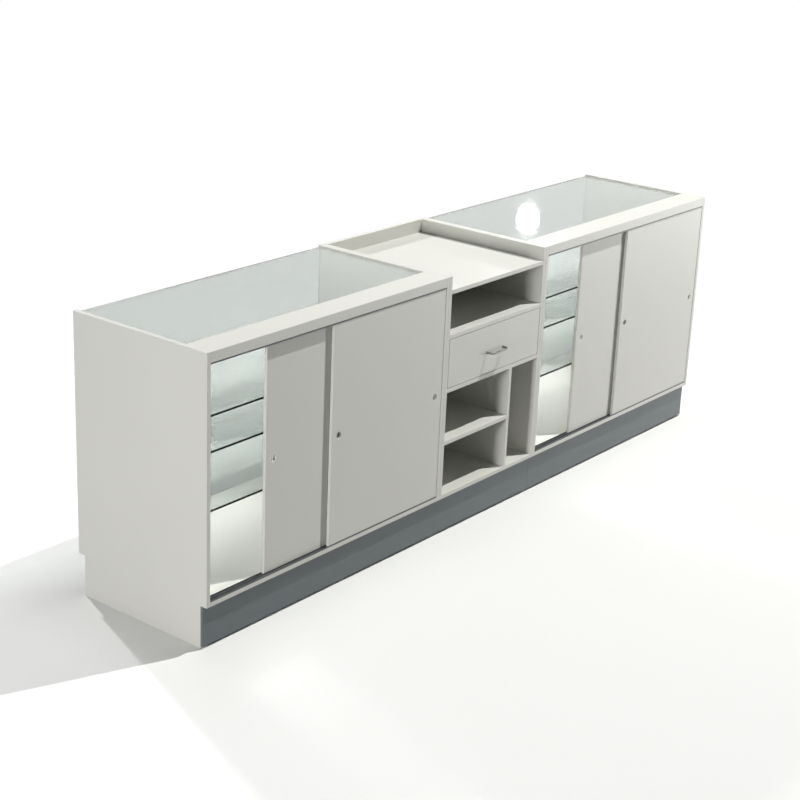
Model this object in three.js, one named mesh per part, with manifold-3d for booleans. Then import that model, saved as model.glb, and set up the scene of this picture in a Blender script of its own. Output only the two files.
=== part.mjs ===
// Reception desk: two glazed display cases with sliding doors, left and right of a till section
// with an open niche, a drawer and lower bays. Millimetres, +Z up, the staff side faces -Y.

import * as THREE from 'three';
import { mergeVertices } from 'three/addons/utils/BufferGeometryUtils.js';
import Module from 'manifold-3d';

const wasm = await Module();
wasm.setup();

// Overall sizes
const CASE_WIDTH = 1200;
const TILL_WIDTH = 600;
const DESK_DEPTH = 600;
const DESK_HEIGHT = 1000;
const BOARD = 16;

// Base: the end panels stand on the floor, the kick boards stay clear of it
const BASE_HEIGHT = 150;
const PLINTH_THICKNESS = 10;
const PLINTH_SETBACK = 17;
const PLINTH_LIFT = 8;
const CUSTOMER_TOE = 30;

// Top of a case and the pane on its customer side
const RAIL_DEPTH = 106;
const RAIL_HEIGHT = 35;
const GLASS = 8;
const GLASS_DROP = 8;
const GLASS_CLEARANCE = 1;
const FRONT_PANE = 10;

// Glass shelves and the pegs that carry them
const SHELF_UNDERSIDES = { lower: 454, middle: 652, upper: 772 };
const SHELF_FRONT = 35;
const PEG_RADIUS = 2.5;
const PEG_LENGTH = 8;
const PEG_INSET = 60;
const PEG_SIDES = 12;

// Sliding doors and their tracks
const DOOR_THICKNESS = 12;
const DOOR_OVERLAP = 26;
const DOOR_CLEARANCE = 0.3;
const INNER_DOOR_OPENING = 264;
const FINGER_HOLE_RADIUS = 11.5;
const FINGER_HOLE_INSET = 36.5;
const TRACK_BASE = 1.2;
const TRACK_RIB = 1.2;
const TRACK_RIB_HEIGHT = 4;

// Till section, from the top down
const WORKTOP_DROP = 51;
const NICHE_HEIGHT = 151;
const DRAWER_OPENING = 187;
const LEFT_BAY_WIDTH = 388;
const LOW_BAY_HEIGHT = 195;

// Drawer
const DRAWER_GAP = 2;
const DRAWER_LENGTH = 480;
const DRAWER_SIDE = 12;
const DRAWER_SIDE_HEIGHT = 130;
const DRAWER_FLOOR = 6;
const DRAWER_FLOOR_RISE = 12;
const GROOVE_DEPTH = 5;
const GROOVE_CLEARANCE = 0.3;
const RUNNER_SPACE = 13;
const RUNNER_HEIGHT = 36;
const RUNNER_SHEET = 1.5;
const RUNNER_REACH = 10;
const RUNNER_CLEARANCE = 0.3;
const RUNNER_INSET = 4;

// Bow handle
const HANDLE_SPAN = 100;
const HANDLE_STANDOFF = 25;
const HANDLE_RADIUS = 4;
const HANDLE_BEND = 16;
const HANDLE_RISE = 82;

// Worked-out sizes
const DESK_WIDTH = 2 * CASE_WIDTH + TILL_WIDTH;
const BACK_FACE = DESK_DEPTH - BOARD;
const PANE_FACE = DESK_DEPTH - FRONT_PANE;
const FLOOR_TOP = BASE_HEIGHT + BOARD;
const RAIL_UNDERSIDE = DESK_HEIGHT - RAIL_HEIGHT;
const STAFF_TOE = PLINTH_SETBACK + PLINTH_THICKNESS;
const GROOVE_WIDTH = DOOR_THICKNESS + 2 * DOOR_CLEARANCE;
const TRACK_DEPTH = 2 * GROOVE_WIDTH + 3 * TRACK_RIB;
const HANDLE_REACH = HANDLE_STANDOFF + HANDLE_RADIUS;
const MID_DEPTH = (DESK_DEPTH - HANDLE_REACH) / 2;

const PALETTE = {
  board: { color: '#dddbd4', roughness: 0.45, metalness: 0 },
  plinth: { color: '#6b7476', roughness: 0.42, metalness: 0 },
  track: { color: '#4b5254', roughness: 0.5, metalness: 0 },
  glass: { color: '#cfdfda', roughness: 0.05, metalness: 0, transparent: true, opacity: 0.35 },
  steel: { color: '#8d8f8e', roughness: 0.3, metalness: 1 },
};

// Profiles lie in a plane of two desk axes and are drawn out along the third
const ALONG_X = new THREE.Matrix4().makeBasis(
  new THREE.Vector3(0, 1, 0),
  new THREE.Vector3(0, 0, 1),
  new THREE.Vector3(1, 0, 0),
);
const ALONG_MINUS_Y = new THREE.Matrix4().makeBasis(
  new THREE.Vector3(1, 0, 0),
  new THREE.Vector3(0, 0, 1),
  new THREE.Vector3(0, -1, 0),
);

function piece(name, finish, geometry, position = [0, 0, 0]) {
  const mesh = new THREE.Mesh(geometry, new THREE.MeshStandardMaterial(PALETTE[finish]));
  mesh.name = name;
  mesh.position.set(...position);
  return mesh;
}

function board(name, finish, [x0, x1], [y0, y1], [z0, z1]) {
  const geometry = new THREE.BoxGeometry(x1 - x0, y1 - y0, z1 - z0);
  return piece(name, finish, geometry, [(x0 + x1) / 2, (y0 + y1) / 2, (z0 + z1) / 2]);
}

function outline(points) {
  return new THREE.Shape(points.map(([u, v]) => new THREE.Vector2(u, v)));
}

function rectangle(u0, u1, v0, v1) {
  return outline([[u0, v0], [u1, v0], [u1, v1], [u0, v1]]);
}

function drawnAlongX(shape, x0, x1) {
  const geometry = new THREE.ExtrudeGeometry(shape, { depth: x1 - x0, bevelEnabled: false });
  return geometry.applyMatrix4(ALONG_X).translate(x0, 0, 0);
}

function drawnAlongY(shape, y0, y1, curveSegments = 12) {
  const options = { depth: y1 - y0, bevelEnabled: false, curveSegments };
  return new THREE.ExtrudeGeometry(shape, options).applyMatrix4(ALONG_MINUS_Y).translate(0, y1, 0);
}

function solid(geometry) {
  const bare = geometry.clone();
  bare.deleteAttribute('normal');
  bare.deleteAttribute('uv');
  const merged = mergeVertices(bare, 1e-4);
  const vertProperties = new Float32Array(merged.attributes.position.array);
  const triVerts = new Uint32Array(merged.index.array);
  return new wasm.Manifold(new wasm.Mesh({ numProp: 3, vertProperties, triVerts }));
}

function fromSolid(body) {
  const mesh = body.getMesh();
  const geometry = new THREE.BufferGeometry();
  geometry.setAttribute('position', new THREE.BufferAttribute(mesh.vertProperties, 3));
  geometry.setIndex(new THREE.BufferAttribute(mesh.triVerts, 1));
  geometry.computeVertexNormals();
  return geometry;
}

// End panel: full height, cut back at both lower corners for the toe space
function panelOutline() {
  return outline([
    [STAFF_TOE, 0],
    [DESK_DEPTH - CUSTOMER_TOE, 0],
    [DESK_DEPTH - CUSTOMER_TOE, BASE_HEIGHT],
    [DESK_DEPTH, BASE_HEIGHT],
    [DESK_DEPTH, DESK_HEIGHT],
    [0, DESK_HEIGHT],
    [0, BASE_HEIGHT],
    [STAFF_TOE, BASE_HEIGHT],
  ]);
}

function plainPanel(name, x0) {
  return piece(name, 'board', drawnAlongX(panelOutline(), x0, x0 + BOARD));
}

// Underside of every sheet of glass that rests on pegs, and its front edge
function glassSeats() {
  const seats = Object.values(SHELF_UNDERSIDES).map((z) => ({ z, front: SHELF_FRONT }));
  seats.push({ z: DESK_HEIGHT - GLASS_DROP - GLASS, front: RAIL_DEPTH });
  return seats;
}

// Case end panel with its pegs; the pegs point to +X or -X into the case
function peggedPanel(name, x0, inward) {
  const face = inward > 0 ? x0 + BOARD : x0;
  const start = face - inward * PEG_LENGTH;
  const pegGeometry = new THREE.CylinderGeometry(PEG_RADIUS, PEG_RADIUS, 2 * PEG_LENGTH, PEG_SIDES);
  pegGeometry.rotateZ(Math.PI / 2);
  let body = solid(drawnAlongX(panelOutline(), x0, x0 + BOARD));
  for (const seat of glassSeats()) {
    for (const y of [seat.front + PEG_INSET, PANE_FACE - PEG_INSET]) {
      const peg = pegGeometry.clone().translate(start + inward * PEG_LENGTH, y, seat.z - PEG_RADIUS);
      body = body.add(solid(peg));
    }
  }
  return piece(name, 'board', fromSolid(body));
}

// Track section: a flat base with three ribs, the grooves open to +Z (up = 1) or -Z (up = -1)
function trackOutline(z, up) {
  const top = z + up * TRACK_BASE;
  const tip = top + up * TRACK_RIB_HEIGHT;
  const pitch = TRACK_RIB + GROOVE_WIDTH;
  const points = [[0, z], [TRACK_DEPTH, z]];
  for (let rib = 2; rib >= 0; rib -= 1) {
    const y = rib * pitch;
    const crown = [[y + TRACK_RIB, tip], [y, tip]];
    points.push(...(rib < 2 ? [[y + TRACK_RIB, top]] : []), ...crown);
    points.push(...(rib > 0 ? [[y, top]] : []));
  }
  return outline(up > 0 ? points : points.reverse());
}

// Door leaf with a round finger hole near each side edge, at mid height
function doorLeaf(name, x0, groove) {
  const y0 = TRACK_RIB + groove * (TRACK_RIB + GROOVE_WIDTH) + DOOR_CLEARANCE;
  const z0 = FLOOR_TOP + TRACK_BASE + DOOR_CLEARANCE;
  const z1 = RAIL_UNDERSIDE - TRACK_BASE - DOOR_CLEARANCE;
  const width = doorWidth();
  const leaf = rectangle(x0, x0 + width, z0, z1);
  for (const x of [x0 + FINGER_HOLE_INSET, x0 + width - FINGER_HOLE_INSET]) {
    const hole = new THREE.Path();
    hole.absarc(x, (z0 + z1) / 2, FINGER_HOLE_RADIUS, 0, 2 * Math.PI, true);
    leaf.holes.push(hole);
  }
  return piece(name, 'board', drawnAlongY(leaf, y0, y0 + DOOR_THICKNESS, 16));
}

function doorWidth() {
  return (CASE_WIDTH - 2 * BOARD + DOOR_OVERLAP) / 2;
}

function plinths(name, width) {
  const height = [PLINTH_LIFT, BASE_HEIGHT];
  const back = DESK_DEPTH - CUSTOMER_TOE;
  return [
    board(`${name}_plinth_staff`, 'plinth', [0, width], [PLINTH_SETBACK, STAFF_TOE], height),
    board(
      `${name}_plinth_customer`, 'plinth',
      [BOARD, width - BOARD], [back - PLINTH_THICKNESS, back], height,
    ),
  ];
}

// Display case, its left lower staff corner at the group's origin
function displayCase(name, outerOnLeft) {
  const group = new THREE.Group();
  const inside = [BOARD, CASE_WIDTH - BOARD];
  const [leftEnd, rightEnd] = outerOnLeft ? ['outer', 'inner'] : ['inner', 'outer'];
  const glassX = [inside[0] + GLASS_CLEARANCE, inside[1] - GLASS_CLEARANCE];
  const glassBack = PANE_FACE - GLASS_CLEARANCE;
  const glassTop = DESK_HEIGHT - GLASS_DROP;

  group.add(
    peggedPanel(`${name}_end_${leftEnd}`, 0, 1),
    peggedPanel(`${name}_end_${rightEnd}`, CASE_WIDTH - BOARD, -1),
    board(`${name}_bottom`, 'board', inside, [0, DESK_DEPTH], [BASE_HEIGHT, FLOOR_TOP]),
    board(`${name}_customer_pane`, 'glass', inside, [PANE_FACE, DESK_DEPTH], [FLOOR_TOP, glassTop]),
    board(`${name}_top_rail`, 'board', inside, [0, RAIL_DEPTH], [RAIL_UNDERSIDE, DESK_HEIGHT]),
    board(
      `${name}_glass_top`, 'glass',
      glassX, [RAIL_DEPTH + GLASS_CLEARANCE, glassBack], [glassTop - GLASS, glassTop],
    ),
    piece(`${name}_track_lower`, 'track', drawnAlongX(trackOutline(FLOOR_TOP, 1), ...inside)),
    piece(`${name}_track_upper`, 'track', drawnAlongX(trackOutline(RAIL_UNDERSIDE, -1), ...inside)),
    doorLeaf(`${name}_door_outer`, inside[1] - DOOR_CLEARANCE - doorWidth(), 0),
    doorLeaf(`${name}_door_inner`, inside[0] + DOOR_CLEARANCE + INNER_DOOR_OPENING, 1),
    ...plinths(name, CASE_WIDTH),
  );
  for (const [level, z] of Object.entries(SHELF_UNDERSIDES)) {
    group.add(board(`${name}_shelf_${level}`, 'glass', glassX, [SHELF_FRONT, glassBack], [z, z + GLASS]));
  }
  return group;
}

// Drawer side: a board with a groove for the drawer floor on its inner face
function drawerSide(name, x0, inward, y0, z0) {
  const [outer, inner] = inward > 0 ? [x0, x0 + DRAWER_SIDE] : [x0 + DRAWER_SIDE, x0];
  const low = z0 + DRAWER_FLOOR_RISE - GROOVE_CLEARANCE;
  const high = z0 + DRAWER_FLOOR_RISE + DRAWER_FLOOR + GROOVE_CLEARANCE;
  const depth = inner - inward * GROOVE_DEPTH;
  const points = [
    [outer, z0], [inner, z0], [inner, low], [depth, low], [depth, high], [inner, high],
    [inner, z0 + DRAWER_SIDE_HEIGHT], [outer, z0 + DRAWER_SIDE_HEIGHT],
  ];
  const section = outline(inward > 0 ? points : points.reverse());
  return piece(name, 'board', drawnAlongY(section, y0, y0 + DRAWER_LENGTH));
}

// Runner channel on the side panel, its mouth towards the drawer
function runnerChannel(name, face, inward, y0, z) {
  const half = RUNNER_HEIGHT / 2;
  const web = face + inward * RUNNER_SHEET;
  const lip = face + inward * RUNNER_REACH;
  const points = [
    [face, z - half], [lip, z - half], [lip, z - half + RUNNER_SHEET], [web, z - half + RUNNER_SHEET],
    [web, z + half - RUNNER_SHEET], [lip, z + half - RUNNER_SHEET], [lip, z + half], [face, z + half],
  ];
  const section = outline(inward > 0 ? points : points.reverse());
  return piece(name, 'steel', drawnAlongY(section, y0, y0 + DRAWER_LENGTH - RUNNER_INSET));
}

// Runner tongue on the drawer side, running inside the channel
function runnerTongue(name, face, inward, y0, z) {
  const half = RUNNER_HEIGHT / 2 - RUNNER_SHEET - RUNNER_CLEARANCE;
  const tip = face + inward * (RUNNER_SHEET + RUNNER_CLEARANCE);
  const root = face + inward * RUNNER_SPACE;
  return board(
    name, 'steel', [Math.min(tip, root), Math.max(tip, root)],
    [y0, y0 + DRAWER_LENGTH - RUNNER_INSET], [z - half, z + half],
  );
}

// Bow handle: round bar, two straight legs joined to the grip by quarter bends
function bowHandle(name, x, z) {
  const half = HANDLE_SPAN / 2;
  const straight = HANDLE_STANDOFF - HANDLE_BEND;
  const corner = (side) => new THREE.Vector3(side * half, -HANDLE_STANDOFF, 0);
  const legEnd = (side) => new THREE.Vector3(side * half, -straight, 0);
  const gripEnd = (side) => new THREE.Vector3(side * (half - HANDLE_BEND), -HANDLE_STANDOFF, 0);
  const foot = (side) => new THREE.Vector3(side * half, 0, 0);
  const path = new THREE.CurvePath();
  path.add(new THREE.LineCurve3(foot(-1), legEnd(-1)));
  path.add(new THREE.QuadraticBezierCurve3(legEnd(-1), corner(-1), gripEnd(-1)));
  path.add(new THREE.LineCurve3(gripEnd(-1), gripEnd(1)));
  path.add(new THREE.QuadraticBezierCurve3(gripEnd(1), corner(1), legEnd(1)));
  path.add(new THREE.LineCurve3(legEnd(1), foot(1)));
  const section = new THREE.Shape().absarc(0, 0, HANDLE_RADIUS, 0, 2 * Math.PI, false);
  const options = { steps: 48, bevelEnabled: false, extrudePath: path, curveSegments: 8 };
  return piece(name, 'steel', new THREE.ExtrudeGeometry(section, options), [x, 0, z]);
}

function drawer(inside, z0, z1) {
  const group = new THREE.Group();
  const faceX = [inside[0] + DRAWER_GAP, inside[1] - DRAWER_GAP];
  const faceZ = [z0 + DRAWER_GAP, z1 - DRAWER_GAP];
  const boxX = [inside[0] + RUNNER_SPACE, inside[1] - RUNNER_SPACE];
  const boxZ = (faceZ[0] + faceZ[1] - DRAWER_SIDE_HEIGHT) / 2;
  const back = BOARD + DRAWER_LENGTH;
  const floorZ = boxZ + DRAWER_FLOOR_RISE;
  const floorReach = DRAWER_SIDE - GROOVE_DEPTH + GROOVE_CLEARANCE;
  const runnerZ = boxZ + DRAWER_SIDE_HEIGHT / 2;

  group.add(
    board('drawer_front', 'board', faceX, [0, BOARD], faceZ),
    drawerSide('drawer_side_left', boxX[0], 1, BOARD, boxZ),
    drawerSide('drawer_side_right', boxX[1] - DRAWER_SIDE, -1, BOARD, boxZ),
    board(
      'drawer_back', 'board',
      [boxX[0] + DRAWER_SIDE, boxX[1] - DRAWER_SIDE], [back - DRAWER_SIDE, back],
      [floorZ + DRAWER_FLOOR, boxZ + DRAWER_SIDE_HEIGHT],
    ),
    board(
      'drawer_floor', 'board',
      [boxX[0] + floorReach, boxX[1] - floorReach], [BOARD, back], [floorZ, floorZ + DRAWER_FLOOR],
    ),
    runnerTongue('drawer_tongue_left', inside[0], 1, BOARD, runnerZ),
    runnerTongue('drawer_tongue_right', inside[1], -1, BOARD, runnerZ),
    runnerChannel('till_channel_left', inside[0], 1, BOARD + RUNNER_INSET, runnerZ),
    runnerChannel('till_channel_right', inside[1], -1, BOARD + RUNNER_INSET, runnerZ),
    bowHandle('drawer_handle', (inside[0] + inside[1]) / 2, faceZ[0] + HANDLE_RISE),
  );
  return group;
}

function tillSection() {
  const group = new THREE.Group();
  const inside = [BOARD, TILL_WIDTH - BOARD];
  const depth = [0, BACK_FACE];
  const worktopTop = DESK_HEIGHT - WORKTOP_DROP;
  const nicheFloor = worktopTop - BOARD - NICHE_HEIGHT;
  const drawerShelfTop = nicheFloor - BOARD - DRAWER_OPENING;
  const dividerX = BOARD + LEFT_BAY_WIDTH;
  const midShelf = FLOOR_TOP + LOW_BAY_HEIGHT;

  group.add(
    plainPanel('till_side_left', 0),
    plainPanel('till_side_right', TILL_WIDTH - BOARD),
    board('till_worktop', 'board', inside, depth, [worktopTop - BOARD, worktopTop]),
    board('till_niche_shelf', 'board', inside, depth, [nicheFloor - BOARD, nicheFloor]),
    board('till_drawer_shelf', 'board', inside, depth, [drawerShelfTop - BOARD, drawerShelfTop]),
    board('till_bottom', 'board', inside, depth, [BASE_HEIGHT, FLOOR_TOP]),
    board(
      'till_divider', 'board',
      [dividerX, dividerX + BOARD], depth, [FLOOR_TOP, drawerShelfTop - BOARD],
    ),
    board('till_mid_shelf', 'board', [inside[0], dividerX], depth, [midShelf, midShelf + BOARD]),
    board('till_customer_panel', 'board', inside, [BACK_FACE, DESK_DEPTH], [BASE_HEIGHT, DESK_HEIGHT]),
    ...plinths('till', TILL_WIDTH),
    drawer(inside, drawerShelfTop, nicheFloor - BOARD),
  );
  return group;
}

const caseLeft = displayCase('case_left', true);
const till = tillSection();
till.position.x = CASE_WIDTH;
const caseRight = displayCase('case_right', false);
caseRight.position.x = CASE_WIDTH + TILL_WIDTH;

const desk = new THREE.Group();
desk.add(caseLeft, till, caseRight);
desk.position.set(-DESK_WIDTH / 2, -MID_DEPTH, 0);

const model = new THREE.Group();
model.add(desk);

export default model;
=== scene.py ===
# %% [markdown]
# # A reception desk with two glazed display cases and a till section
#
# The desk comes from its solid model as separate boards, panes, doors and a drawer, already in place.
# In this lesson we give each of them the finish of the real thing, soften its edges, build the drawer's
# bow handle as a smooth surface, and set up the floor, the light and the camera.

# %% Load the desk
import math

import bpy
import numpy as np
from mathutils import Euler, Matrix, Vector


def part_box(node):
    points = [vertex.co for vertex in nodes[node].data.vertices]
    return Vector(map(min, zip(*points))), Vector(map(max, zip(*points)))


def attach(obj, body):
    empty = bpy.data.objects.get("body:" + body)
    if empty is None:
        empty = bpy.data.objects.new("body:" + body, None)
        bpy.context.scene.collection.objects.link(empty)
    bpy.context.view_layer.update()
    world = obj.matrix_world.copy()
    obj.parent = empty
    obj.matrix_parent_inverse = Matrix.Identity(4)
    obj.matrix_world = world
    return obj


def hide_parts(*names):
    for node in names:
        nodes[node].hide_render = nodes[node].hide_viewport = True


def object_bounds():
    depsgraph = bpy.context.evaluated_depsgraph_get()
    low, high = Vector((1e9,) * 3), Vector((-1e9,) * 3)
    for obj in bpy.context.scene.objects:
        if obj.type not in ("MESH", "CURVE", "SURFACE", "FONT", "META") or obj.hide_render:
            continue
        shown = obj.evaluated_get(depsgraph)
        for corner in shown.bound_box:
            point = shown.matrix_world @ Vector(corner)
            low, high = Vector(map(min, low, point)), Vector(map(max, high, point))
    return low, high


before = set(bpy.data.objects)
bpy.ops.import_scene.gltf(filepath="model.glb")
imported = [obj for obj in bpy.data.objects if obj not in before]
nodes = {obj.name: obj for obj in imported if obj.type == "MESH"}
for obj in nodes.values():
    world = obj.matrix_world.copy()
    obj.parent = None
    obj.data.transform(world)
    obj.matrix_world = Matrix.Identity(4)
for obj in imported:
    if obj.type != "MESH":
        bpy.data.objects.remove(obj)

scene = bpy.context.scene
solid_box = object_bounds()

# %% [markdown]
# ## Writing shader maths as plain expressions
#
# A finish is a small graph of nodes. Laying out each node by hand hides the idea behind the finish, so we
# wrap a node's output in a class that knows plus, minus and times. An expression such as `1 - mask` then
# adds the Math node by itself, and every other node comes from one method.

# %% A socket that can be calculated with
class Amount:
    """An output of a shader node: arithmetic on it adds a Math node to the same finish."""

    def __init__(self, finish, output):
        self.finish = finish
        self.output = output

    def math(self, operation, first, second=0.0):
        """A Math node of that operation on the two values, as a new Amount."""
        return self.finish.node("ShaderNodeMath", {"operation": operation}, {0: first, 1: second})

    def __add__(self, other):
        return self.math("ADD", self, other)

    __radd__ = __add__

    def __sub__(self, other):
        return self.math("SUBTRACT", self, other)

    def __rsub__(self, other):
        return self.math("SUBTRACT", other, self)

    def __mul__(self, other):
        return self.math("MULTIPLY", self, other)

    __rmul__ = __mul__

    def __gt__(self, other):
        return self.math("GREATER_THAN", self, other)

    def __lt__(self, other):
        return self.math("LESS_THAN", self, other)

    def size(self):
        """The value without its sign."""
        return self.math("ABSOLUTE", self)

    def larger(self, other):
        """The larger of the two values."""
        return self.math("MAXIMUM", self, other)


# %% A finish with one way to add a node
class Finish:
    """A material or world under construction: fixed values go on the main shader, nodes feed the rest."""

    def __init__(self, owner, fixed=None):
        owner.use_nodes = True
        self.owner = owner
        self.tree = owner.node_tree
        self.shader = self.tree.nodes.get("Principled BSDF")
        for socket, value in (fixed or {}).items():
            self.shader.inputs[socket].default_value = value

    def node(self, kind, settings=None, inputs=None, output=0):
        """Adds a node: settings first, then its sockets' values or links; answers the chosen output."""
        made = self.tree.nodes.new(kind)
        for key, value in (settings or {}).items():
            setattr(made, key, value)
        for socket, value in (inputs or {}).items():
            self.feed(made.inputs[socket], value)
        return Amount(self, made.outputs[output])

    def feed(self, socket, value):
        """Links an Amount to the socket, or sets a plain value on it."""
        if isinstance(value, Amount):
            self.tree.links.new(value.output, socket)
        else:
            socket.default_value = value

    def paint(self, **inputs):
        """Feeds the main shader: base_color=..., roughness=... and so on."""
        for key, value in inputs.items():
            self.feed(self.shader.inputs[key.replace("_", " ").title()], value)

    def place(self):
        """The surface point in metres, in the desk's own frame."""
        return self.node("ShaderNodeTexCoord", output="Object")

    def axes(self, point):
        """The three coordinates of a point as Amounts."""
        split = self.node("ShaderNodeSeparateXYZ", None, {0: point}).output.node
        return [Amount(self, socket) for socket in split.outputs]

    def noise(self, point, scale, detail=2.0, roughness=0.5):
        """Soft random blotches between 0 and 1, about scale of them to a metre."""
        values = {"Vector": point, "Scale": scale, "Detail": detail, "Roughness": roughness}
        return self.node("ShaderNodeTexNoise", None, values)

    def stretched(self, point, scale):
        """The point with its axes scaled, so that blotches turn into streaks."""
        return self.node("ShaderNodeMapping", None, {"Vector": point, "Scale": scale})

    def blend(self, share, first, second):
        """The first colour turning into the second as share goes from 0 to 1."""
        settings = {"data_type": "RGBA"}
        return self.node("ShaderNodeMix", settings, {0: share, 6: first, 7: second}, output=2)

    def relief(self, height, depth, strength):
        """A Bump node: heights of 0 to 1 stand for that depth in metres."""
        values = {"Height": height, "Distance": depth, "Strength": strength}
        return self.node("ShaderNodeBump", None, values)

    def rising(self, value, start, end, low=0.0, high=1.0):
        """A smooth step from low to high as the value goes from start to end."""
        limits = {"From Min": start, "From Max": end, "To Min": low, "To Max": high}
        settings = {"interpolation_type": "SMOOTHSTEP"}
        return self.node("ShaderNodeMapRange", settings, {"Value": value, **limits})


def seen_directly(finish):
    """1 for rays from the eye, straight or by way of gloss and glass, and 0 for light between surfaces."""
    path = finish.node("ShaderNodeLightPath").output.node
    eye, gloss, pane = [
        Amount(finish, path.outputs[f"Is {ray} Ray"]) for ray in ("Camera", "Glossy", "Transmission")
    ]
    unscattered = Amount(finish, path.outputs["Diffuse Depth"]) < 0.5
    return (eye + gloss) * unscattered + pane > 0.5


def new_finish(name, **fixed):
    """A material of that name; fixed shader values are written as specular_ior_level=0.4."""
    titles = {"specular_ior_level": "Specular IOR Level", "ior": "IOR"}
    values = {titles.get(key, key.replace("_", " ").title()): value for key, value in fixed.items()}
    return Finish(bpy.data.materials.new(name), values)


def opaque(red, green, blue):
    """A colour with full cover, from its linear parts."""
    return (red, green, blue, 1.0)


print("helpers ready")

# %% [markdown]
# ## White melamine board
#
# The carcass, doors and drawer are chipboard with a white melamine face: a warm white with a fine pearl
# texture pressed into it, a soft sheen, and a plastic edge band whose joint shows as a hairline just behind
# each front edge. The tone drifts a little over a board, and the legs gather dust where they meet the floor.
# We paint the hairline by its distance from the staff face, so one finish serves all the boards.

# %% Board finish
BOARD_WHITE = opaque(0.688, 0.690, 0.650)
BOARD_SHADE = opaque(0.664, 0.666, 0.626)
DUST = opaque(0.480, 0.470, 0.435)
STAFF_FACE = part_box("till_side_left")[0].y
BAND_THICKNESS = 0.0010
BAND_JOINT = 0.00012
JOINT_SHARE = 0.35
DUST_HEIGHT = 0.045
DUST_SHARE = 0.30


def board_body(finish):
    """The board's colour, sheen and pearl relief as (colour, roughness, normal)."""
    point = finish.place()
    _, depth, height = finish.axes(point)
    tone = finish.noise(point, 2.3, 3.0)
    colour = finish.blend(tone, BOARD_SHADE, BOARD_WHITE)
    joint = (depth - (STAFF_FACE + BAND_THICKNESS)).size() < BAND_JOINT
    colour = finish.blend(joint * JOINT_SHARE, colour, DUST)
    near_floor = finish.rising(height, 0.0, DUST_HEIGHT, DUST_SHARE, 0.0)
    dust = near_floor * finish.noise(point, 60.0, 4.0)
    colour = finish.blend(dust, colour, DUST)
    pearl = finish.noise(point, 900.0, 1.0)
    roughness = 0.40 + 0.08 * finish.noise(point, 9.0, 3.0) + 0.15 * dust
    return colour, roughness, finish.relief(pearl, 0.00006, 0.5)


def board_finish():
    """White melamine board."""
    finish = new_finish("white_melamine", specular_ior_level=0.42)
    colour, roughness, normal = board_body(finish)
    finish.paint(base_color=colour, roughness=roughness, normal=normal)
    return finish.owner


board = board_finish()
print("board finish:", board.name)

# %% [markdown]
# ## End panels with steel pegs
#
# The glass shelves and tops lie on small steel pegs pushed into the end panels. Panel and pegs are one
# solid, so one finish has to show both: a point that lies past the panel's inner face belongs to a peg, and
# is painted as steel.

# %% Pegged panel finish
PEG_STEEL = opaque(0.56, 0.56, 0.55)
PANEL_MARGIN = 0.0002
BOARD_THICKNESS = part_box("case_left_bottom")[1].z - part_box("case_left_bottom")[0].z


def pegged_finish(node, inner_side):
    """Melamine panel of that node, with everything past its inner face as steel pegs."""
    low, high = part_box(node)
    finish = new_finish(f"{node}_melamine", specular_ior_level=0.42)
    colour, roughness, normal = board_body(finish)
    across = finish.axes(finish.place())[0]
    if inner_side > 0:
        peg = across > low.x + BOARD_THICKNESS + PANEL_MARGIN
    else:
        peg = across < high.x - BOARD_THICKNESS - PANEL_MARGIN
    finish.paint(
        base_color=finish.blend(peg, colour, PEG_STEEL),
        roughness=roughness - 0.14 * peg,
        metallic=peg,
        normal=normal,
    )
    return finish.owner


print("board is", round(BOARD_THICKNESS * 1000, 1), "mm thick")

# %% [markdown]
# ## Plinth
#
# The kickboards are faced with a blue-grey laminate. Shoes and mops leave faint level streaks on it, and its
# sheen is a little uneven.

# %% Plinth finish
PLINTH_DARK = opaque(0.110, 0.131, 0.141)
PLINTH_LIGHT = opaque(0.145, 0.169, 0.180)


def plinth_finish():
    """Blue-grey laminate with faint level streaks and a cloudy, uneven tone and sheen."""
    finish = new_finish("slate_laminate", specular_ior_level=0.45)
    point = finish.place()
    streaks = finish.noise(finish.stretched(point, (1.5, 1.5, 220.0)), 1.0, 3.0)
    cloud = finish.noise(point, 4.0, 3.0)
    share = 0.55 * streaks + 0.45 * cloud
    colour = finish.blend(share, PLINTH_DARK, PLINTH_LIGHT)
    pearl = finish.noise(point, 700.0, 1.0)
    finish.paint(
        base_color=colour,
        roughness=0.34 + 0.12 * cloud,
        normal=finish.relief(pearl, 0.00005, 0.4),
    )
    return finish.owner


plinth = plinth_finish()
print("plinth finish:", plinth.name)

# %% [markdown]
# ## Sliding door tracks
#
# The doors run in extruded tracks of dark grey plastic. Extrusion leaves fine lines along the track, which a
# noise stretched along its length gives, and a little pale dust lies on it in blotches.

# %% Track finish
TRACK_DARK = opaque(0.030, 0.033, 0.037)
TRACK_LIGHT = opaque(0.058, 0.064, 0.070)
TRACK_DUST = opaque(0.30, 0.30, 0.29)


def track_finish():
    """Dark grey extruded plastic with lines along X."""
    finish = new_finish("dark_track", specular_ior_level=0.5)
    point = finish.place()
    lines = finish.noise(finish.stretched(point, (3.0, 1400.0, 1400.0)), 1.0, 2.0)
    dust = finish.noise(point, 25.0, 4.0)
    colour = finish.blend(0.6 * lines, TRACK_DARK, TRACK_LIGHT)
    colour = finish.blend(0.16 * dust, colour, TRACK_DUST)
    finish.paint(
        base_color=colour,
        roughness=0.34 + 0.2 * dust,
        normal=finish.relief(lines, 0.00008, 0.5),
    )
    return finish.owner


track = track_finish()
print("track finish:", track.name)

# %% [markdown]
# ## Glass
#
# The tops, shelves and customer panes are clear float glass, faintly green from the iron in it. A Principled
# shader with full transmission bends and mirrors light as glass does, but Cycles would keep lamp light out of
# the cases. So rays that look for a lamp meet a Transparent shader instead, which passes most of them. Light
# that has already bounced off a board meets a clearer tint than the eye does, which keeps the cases bright.
# Faces that look up carry a thin speckled film of dust, which catches the light.

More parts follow.
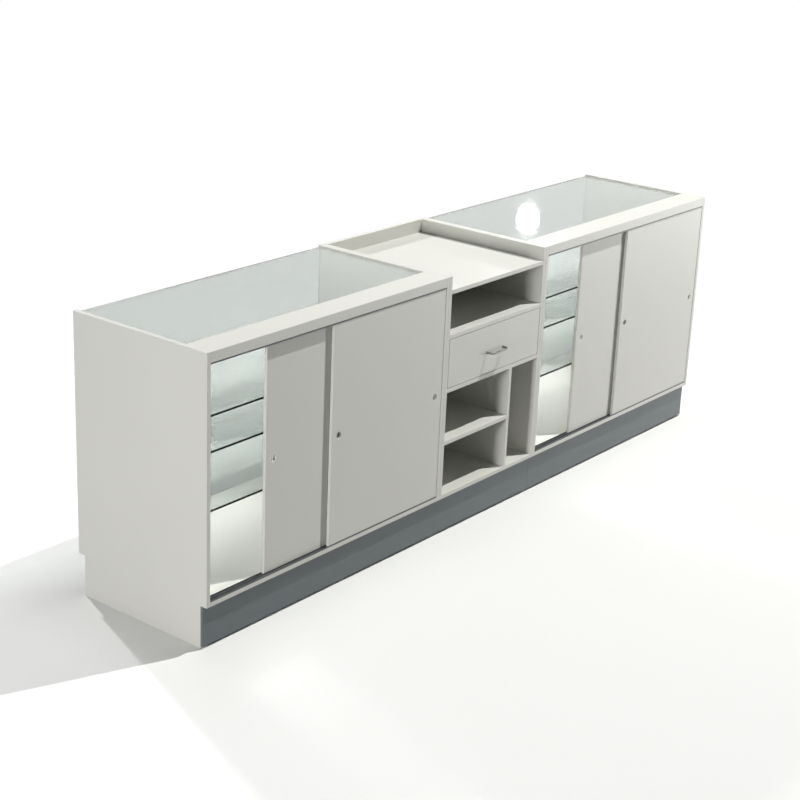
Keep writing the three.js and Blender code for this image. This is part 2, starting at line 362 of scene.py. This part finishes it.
# %% Glass finish
GLASS_BEND = 1.22
GLASS_TINT = opaque(0.630, 0.660, 0.645)
GLASS_CLEAR = opaque(0.920, 0.926, 0.920)
GLASS_SHADOW = opaque(0.700, 0.706, 0.702)
FILM = opaque(0.770, 0.810, 0.790)
FILM_SHARE = 0.24


def glass_finish():
    """Clear greenish glass that lets lamps through, with a speckled film on the faces that look up."""
    finish = new_finish("float_glass", transmission_weight=1.0, ior=GLASS_BEND, roughness=0.04)
    scattered = finish.node("ShaderNodeLightPath", output="Diffuse Depth") > 0.5
    finish.paint(base_color=finish.blend(scattered, GLASS_TINT, GLASS_CLEAR))
    point = finish.place()
    speck = finish.noise(point, 240.0, 2.0)
    surface = finish.node("ShaderNodeNewGeometry").output.node
    outside = 1 - Amount(finish, surface.outputs["Backfacing"])
    up = (finish.axes(Amount(finish, surface.outputs["Normal"]))[2] > 0.5) * outside
    film = finish.node("ShaderNodeBsdfDiffuse", None, {"Color": FILM})
    pane = Amount(finish, finish.shader.outputs[0])
    share = up * (2.0 * FILM_SHARE * speck)
    filmed = finish.node("ShaderNodeMixShader", None, {0: share, 1: pane, 2: film})
    to_lamp = finish.node("ShaderNodeLightPath", output="Is Shadow Ray")
    clear = finish.node("ShaderNodeBsdfTransparent", None, {"Color": GLASS_SHADOW})
    mixed = finish.node("ShaderNodeMixShader", None, {0: to_lamp, 1: filmed, 2: clear})
    finish.feed(finish.tree.nodes["Material Output"].inputs["Surface"], mixed)
    return finish.owner


glass = glass_finish()
print("glass finish:", glass.name)

# %% [markdown]
# ## Metal
#
# The drawer runners are zinc-plated steel with the plating's cloudy spangle. The handle is brushed steel,
# darker and finer, with the brushing running along the bow.

# %% Metal finishes
ZINC_DARK = opaque(0.46, 0.47, 0.48)
ZINC_LIGHT = opaque(0.60, 0.61, 0.62)
STEEL_DARK = opaque(0.11, 0.11, 0.108)
STEEL_LIGHT = opaque(0.19, 0.19, 0.186)


def zinc_finish():
    """Zinc-plated steel with a cloudy spangle."""
    finish = new_finish("zinc_plate", metallic=1.0)
    point = finish.place()
    spangle = finish.node("ShaderNodeTexVoronoi", None, {"Vector": point, "Scale": 160.0}, "Color")
    level = finish.axes(spangle)[0]
    colour = finish.blend(level, ZINC_DARK, ZINC_LIGHT)
    finish.paint(base_color=colour, roughness=0.30 + 0.15 * level)
    return finish.owner


def brushed_finish():
    """Brushed steel: hair lines along the piece's own U, the length along the bow."""
    finish = new_finish("brushed_steel", metallic=1.0)
    along = finish.node("ShaderNodeUVMap", {"uv_map": "bow"})
    hairs = finish.noise(finish.stretched(along, (30.0, 1400.0, 1.0)), 1.0, 2.0)
    smudge = finish.noise(finish.place(), 90.0, 3.0)
    colour = finish.blend(hairs, STEEL_DARK, STEEL_LIGHT)
    finish.paint(
        base_color=colour,
        roughness=0.26 + 0.12 * hairs + 0.08 * smudge,
        normal=finish.relief(hairs, 0.00002, 0.4),
    )
    return finish.owner


zinc = zinc_finish()
brushed = brushed_finish()
print("metal finishes:", zinc.name, brushed.name)

# %% [markdown]
# ## Dressing the solids
#
# Each solid keeps its shape and takes its finish from its name. Real edges are never knife sharp: a Weld
# modifier joins the loose triangles, a planar Decimate merges those that lie in one plane, and a Bevel rounds
# the corners, by the edge band's radius on boards and by the polished arris on glass.

# %% Which finish and edge radius each solid takes
BOARD_EDGE = 0.0008
GLASS_EDGE = 0.0010
SHEET_EDGE = 0.0002
WELD_REACH = 0.00001
FLAT_WITHIN = math.radians(1.0)
CORNER_FROM = math.radians(40.0)


def finish_for(name):
    """The material and the edge radius of a solid, by the words in its name."""
    if "glass" in name or "pane" in name.split("_") or ("case" in name and "shelf" in name):
        return glass, GLASS_EDGE
    if "plinth" in name:
        return plinth, BOARD_EDGE
    if "track" in name:
        return track, SHEET_EDGE
    if "channel" in name or "tongue" in name:
        return zinc, SHEET_EDGE
    if name.startswith("case") and "_end_" in name:
        faces_right = name in ("case_left_end_outer", "case_right_end_inner")
        return pegged_finish(name, 1 if faces_right else -1), BOARD_EDGE
    return board, BOARD_EDGE


def soften(piece, radius):
    """Joins a piece's loose triangles into flat faces and rounds its corners.

    The bevel isn't clamped, because clamping flattened it along one of the end panels.
    """
    weld = piece.modifiers.new("weld", "WELD")
    weld.merge_threshold = WELD_REACH
    flat = piece.modifiers.new("flat", "DECIMATE")
    flat.decimate_type = "DISSOLVE"
    flat.angle_limit = FLAT_WITHIN
    bevel = piece.modifiers.new("edge", "BEVEL")
    bevel.width = radius
    bevel.segments = 2
    bevel.use_clamp_overlap = False
    bevel.limit_method = "ANGLE"
    bevel.angle_limit = CORNER_FROM


for name, piece in nodes.items():
    material, radius = finish_for(name)
    piece.data.materials.clear()
    piece.data.materials.append(material)
    soften(piece, radius)
print(len(nodes), "solids dressed with", len(bpy.data.materials), "materials")

# %% [markdown]
# ## The drawer's bow handle
#
# The handle is a round steel bar bent twice. We carry a circle along the bar's centre line: out of the
# drawer front, round a quarter bend, across, round the second bend and back. Where it meets the front, the
# bar swells into a small collar, as a screwed-on handle does.

# %% Sweep the bow
HANDLE_BEND = 0.016
COLLAR_HEIGHT = 0.004
COLLAR_GROWTH = 0.35
BAR_GIRTH = 0.025
SIDES = 32
LEG_STEPS = 12
BEND_STEPS = 14


def bow_path(half, reach, bend):
    """Centre line from foot to foot in the (x, y) plane, as points.

    Two straight legs, two quarter circles of radius bend with angle t from 0 to 90 degrees,
    (half - bend + bend cos t, -reach + bend - bend sin t), and a straight grip between them.
    """
    turn = np.linspace(0.0, np.pi / 2, BEND_STEPS)
    corner = np.stack([half - bend + bend * np.cos(turn), -reach + bend - bend * np.sin(turn)], 1)
    leg = np.stack([np.full(LEG_STEPS, half), -np.linspace(0.0, reach - bend, LEG_STEPS)], 1)[:-1]
    right = np.concatenate([leg, corner])
    left = right[::-1] * [-1.0, 1.0]
    return np.concatenate([right, left])


def bow_surface(centre, radius, path):
    """A tube: circle of that radius about each path point, in the plane of its normal and Z.

    Point (i, j) is path[i] + r(i) (cos a n[i] + sin a z) with a = 2 pi j / SIDES; r grows by the
    collar's share within its height of either foot.
    """
    along = np.gradient(path, axis=0)
    along /= np.linalg.norm(along, axis=1, keepdims=True)
    normal = np.stack([-along[:, 1], along[:, 0]], 1)
    lift = np.clip(1.0 + path[:, 1] / COLLAR_HEIGHT, 0.0, 1.0)
    swell = radius * (1.0 + COLLAR_GROWTH * lift * lift * (3.0 - 2.0 * lift))
    angle = np.linspace(0.0, 2.0 * np.pi, SIDES, endpoint=False)
    flat = path[:, None, :] + (swell[:, None] * np.cos(angle))[..., None] * normal[:, None, :]
    rise = np.broadcast_to((swell[:, None] * np.sin(angle))[..., None], (*flat.shape[:2], 1))
    return np.concatenate([flat, rise], 2) + centre


def tube_faces(rings, sides):
    """Quads between neighbouring rings, each ring closed on itself."""
    ring, side = np.meshgrid(np.arange(rings - 1), np.arange(sides), indexing="ij")
    here = ring * sides + side
    beside = ring * sides + (side + 1) % sides
    return np.stack([here, here + sides, beside + sides, beside], 2).reshape(-1, 4)


def tube_piece(name, grid, path):
    """A closed smooth mesh from a grid of rings, with flat end caps and a UV map in metres."""
    rings, sides = grid.shape[:2]
    faces = tube_faces(rings, sides).tolist()
    first = list(range(sides))
    last = list(range((rings - 1) * sides, rings * sides))
    mesh = bpy.data.meshes.new(name)
    mesh.from_pydata(grid.reshape(-1, 3).tolist(), [], faces + [first, last[::-1]])
    mesh.update()
    travelled = np.concatenate([[0.0], np.cumsum(np.linalg.norm(np.diff(path, axis=0), axis=1))])
    uv = mesh.uv_layers.new(name="bow")
    corner = np.empty(len(mesh.loops), np.int32)
    mesh.loops.foreach_get("vertex_index", corner)
    pairs = np.stack([travelled[corner // sides], (corner % sides) / sides * BAR_GIRTH], 1)
    uv.data.foreach_set("uv", pairs.astype(np.float32).ravel())
    mesh.polygons.foreach_set("use_smooth", [True] * len(faces) + [False, False])
    piece = bpy.data.objects.new(name, mesh)
    scene.collection.objects.link(piece)
    return piece


low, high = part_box("drawer_handle")
bar_radius = (high.z - low.z) / 2
half_span = (high.x - low.x) / 2 - bar_radius
reach = high.y - low.y - bar_radius
foot_line = np.array([(low.x + high.x) / 2, high.y, (low.z + high.z) / 2])
path = bow_path(half_span, reach, HANDLE_BEND)
bow = tube_piece("bow_handle", bow_surface(foot_line, bar_radius, path), path)
bow.data.materials.append(brushed)
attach(bow, "drawer")
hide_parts("drawer_handle")
print("bow handle:", len(bow.data.polygons), "faces, bar", round(bar_radius * 2000, 1), "mm thick")

# %% [markdown]
# ## Floor
#
# A pale floor carries the desk's shadow. To the eye it has painted light, a faint glow that lifts it and its
# shadows; the glow is nil under the desk and rises just outside it, so the floor there keeps a painted shade.
# The floor fades out some metres away, so that the white studio behind it takes over without an edge.

# %% Floor with a soft rim
FLOOR_REACH = 14.0
FLOOR_SOLID = 2.2
FLOOR_GONE = 3.4
FLOOR_WHITE = opaque(0.90, 0.91, 0.895)
FLOOR_BOUNCE = opaque(0.30, 0.30, 0.295)
FLOOR_PAINTED_LIGHT = 0.28
FLOOR_PAINTED_LIGHT_RISE = 0.35
half_length = solid_box[1].x
half_depth = solid_box[1].y


def floor_finish():
    """Pale matt floor with a painted glow to the eye, nil under the desk as painted shade, turning
    transparent with the distance from it.
    """
    finish = new_finish("pale_floor", roughness=0.55, specular_ior_level=0.3)
    seen = seen_directly(finish)
    finish.paint(base_color=finish.blend(seen, FLOOR_BOUNCE, FLOOR_WHITE))
    point = finish.place()
    distance = finish.node("ShaderNodeVectorMath", {"operation": "LENGTH"}, {0: point}, "Value")
    gone = finish.rising(distance, FLOOR_SOLID, FLOOR_GONE)
    clear = finish.node("ShaderNodeBsdfTransparent")
    solid = Amount(finish, finish.shader.outputs[0])
    # Painted light and shade: a white emission that only the eye sees lifts the floor and its shadows away
    # from the desk. It is nil under the desk and at its outline, so the floor there keeps a painted shade.
    painted_light = finish.node("ShaderNodeEmission", None, {"Color": opaque(1.0, 1.0, 1.0), "Strength": 1.0})
    across, depth, _ = finish.axes(point)
    beside = (across.size() - half_length).larger(depth.size() - half_depth)
    painted_light_share = FLOOR_PAINTED_LIGHT * finish.rising(beside, 0.0, FLOOR_PAINTED_LIGHT_RISE) * seen
    floor_with_painted_light = finish.node("ShaderNodeMixShader", None, {0: painted_light_share, 1: solid, 2: painted_light})
    mixed = finish.node("ShaderNodeMixShader", None, {0: gone, 1: floor_with_painted_light, 2: clear})
    finish.feed(finish.tree.nodes["Material Output"].inputs["Surface"], mixed)
    return finish.owner


def flat_piece(name, corners, material):
    """A single four-cornered sheet."""
    mesh = bpy.data.meshes.new(name)
    mesh.from_pydata(corners, [], [(0, 1, 2, 3)])
    mesh.materials.append(material)
    sheet = bpy.data.objects.new(name, mesh)
    scene.collection.objects.link(sheet)


far = FLOOR_REACH
flat_piece(
    "floor",
    [(-far, -far, 0.0), (far, -far, 0.0), (far, far, 0.0), (-far, far, 0.0)],
    floor_finish(),
)
print("floor laid")

# %% [markdown]
# ## Light
#
# A small strong lamp hangs high on the staff side, to the right: it draws the crisp shadows in the open bays,
# beside the doors and under the handle. A panel on the left keeps the end of the desk bright, and one near
# the floor on the right lights the fronts without reaching far into the bays. A lamp behind the desk shines
# through the customer panes, and a weak one at the right leaves a glint on the glass. The studio's white
# walls give a low even light. Seen directly or in a reflection, the studio is plain white.

# %% Studio walls and lamps
AMBIENT = 0.08
KEY_PLACE = Vector((3.64, -2.39, 8.40))
KEY_SIZE = 0.08
KEY_POWER = 760.0
FILL_PLACE = Vector((-6.0, -0.78, 1.3))
FILL_SIZE = 0.7
FILL_POWER = 156.0
BACK_PLACE = Vector((0.45, 5.4, 4.2))
BACK_SIZE = 0.25
BACK_POWER = 205.0
SIDE_PLACE = Vector((2.63, 1.375, 1.58))
SIDE_SIZE = 0.12
SIDE_POWER = 3.0
FRONT_PLACE = Vector((8.5, -4.6, 0.45))
FRONT_SIZE = 1.2
FRONT_POWER = 408.0
AIM = Vector((0.0, 0.0, 0.55))
WHITE = (1.0, 1.0, 1.0)
OFF_WHITE = (1.0, 1.0, 0.985)
WARM_WHITE = (1.0, 0.995, 0.97)


def studio_world():
    """White to the eye and in reflections, dim as a source of light."""
    finish = Finish(bpy.data.worlds.new("studio"))
    shown = seen_directly(finish)
    dim = finish.node("ShaderNodeBackground", None, {"Color": opaque(1.0, 1.0, 0.98), "Strength": AMBIENT})
    white = finish.node("ShaderNodeBackground", None, {"Color": opaque(1.0, 1.0, 1.0), "Strength": 1.0})
    mixed = finish.node("ShaderNodeMixShader", None, {0: shown, 1: dim, 2: white})
    finish.feed(finish.tree.nodes["World Output"].inputs["Surface"], mixed)
    return finish.owner


def panel_lamp(name, place, size, power, colour):
    """A round lamp panel at that place, facing the desk."""
    lamp = bpy.data.lights.new(name, "AREA")
    lamp.shape = "DISK"
    lamp.size = size
    lamp.energy = power
    lamp.color = colour
    holder = bpy.data.objects.new(name, lamp)
    holder.location = place
    holder.rotation_euler = (AIM - place).to_track_quat("-Z", "Y").to_euler()
    holder.visible_camera = False
    scene.collection.objects.link(holder)


scene.world = studio_world()
panel_lamp("key_lamp", KEY_PLACE, KEY_SIZE, KEY_POWER, WARM_WHITE)
panel_lamp("fill_panel", FILL_PLACE, FILL_SIZE, FILL_POWER, OFF_WHITE)
panel_lamp("back_lamp", BACK_PLACE, BACK_SIZE, BACK_POWER, WHITE)
panel_lamp("front_panel", FRONT_PLACE, FRONT_SIZE, FRONT_POWER, OFF_WHITE)
panel_lamp("side_lamp", SIDE_PLACE, SIDE_SIZE, SIDE_POWER, WHITE)
print("key lamp is", round((KEY_PLACE - AIM).length, 2), "m away")

# %% [markdown]
# ## Camera
#
# The view is from the staff side, left of the desk and above it, through a long lens. Place, tilt and lens
# were worked out from the desk's own edges.

# %% Camera
CAMERA_PLACE = (-4.9864, -3.7453, 2.6473)
CAMERA_TILT = (70.042, -2.313, -51.171)
CAMERA_LENS = 77.62

camera = bpy.data.objects.new("camera", bpy.data.cameras.new("camera"))
camera.location = CAMERA_PLACE
camera.rotation_euler = Euler([math.radians(angle) for angle in CAMERA_TILT], "XYZ")
camera.data.lens = CAMERA_LENS
camera.data.dof.use_dof = False
scene.collection.objects.link(camera)
scene.camera = camera
scene.view_settings.view_transform = "Standard"
print("camera at", CAMERA_PLACE, "lens", CAMERA_LENS)
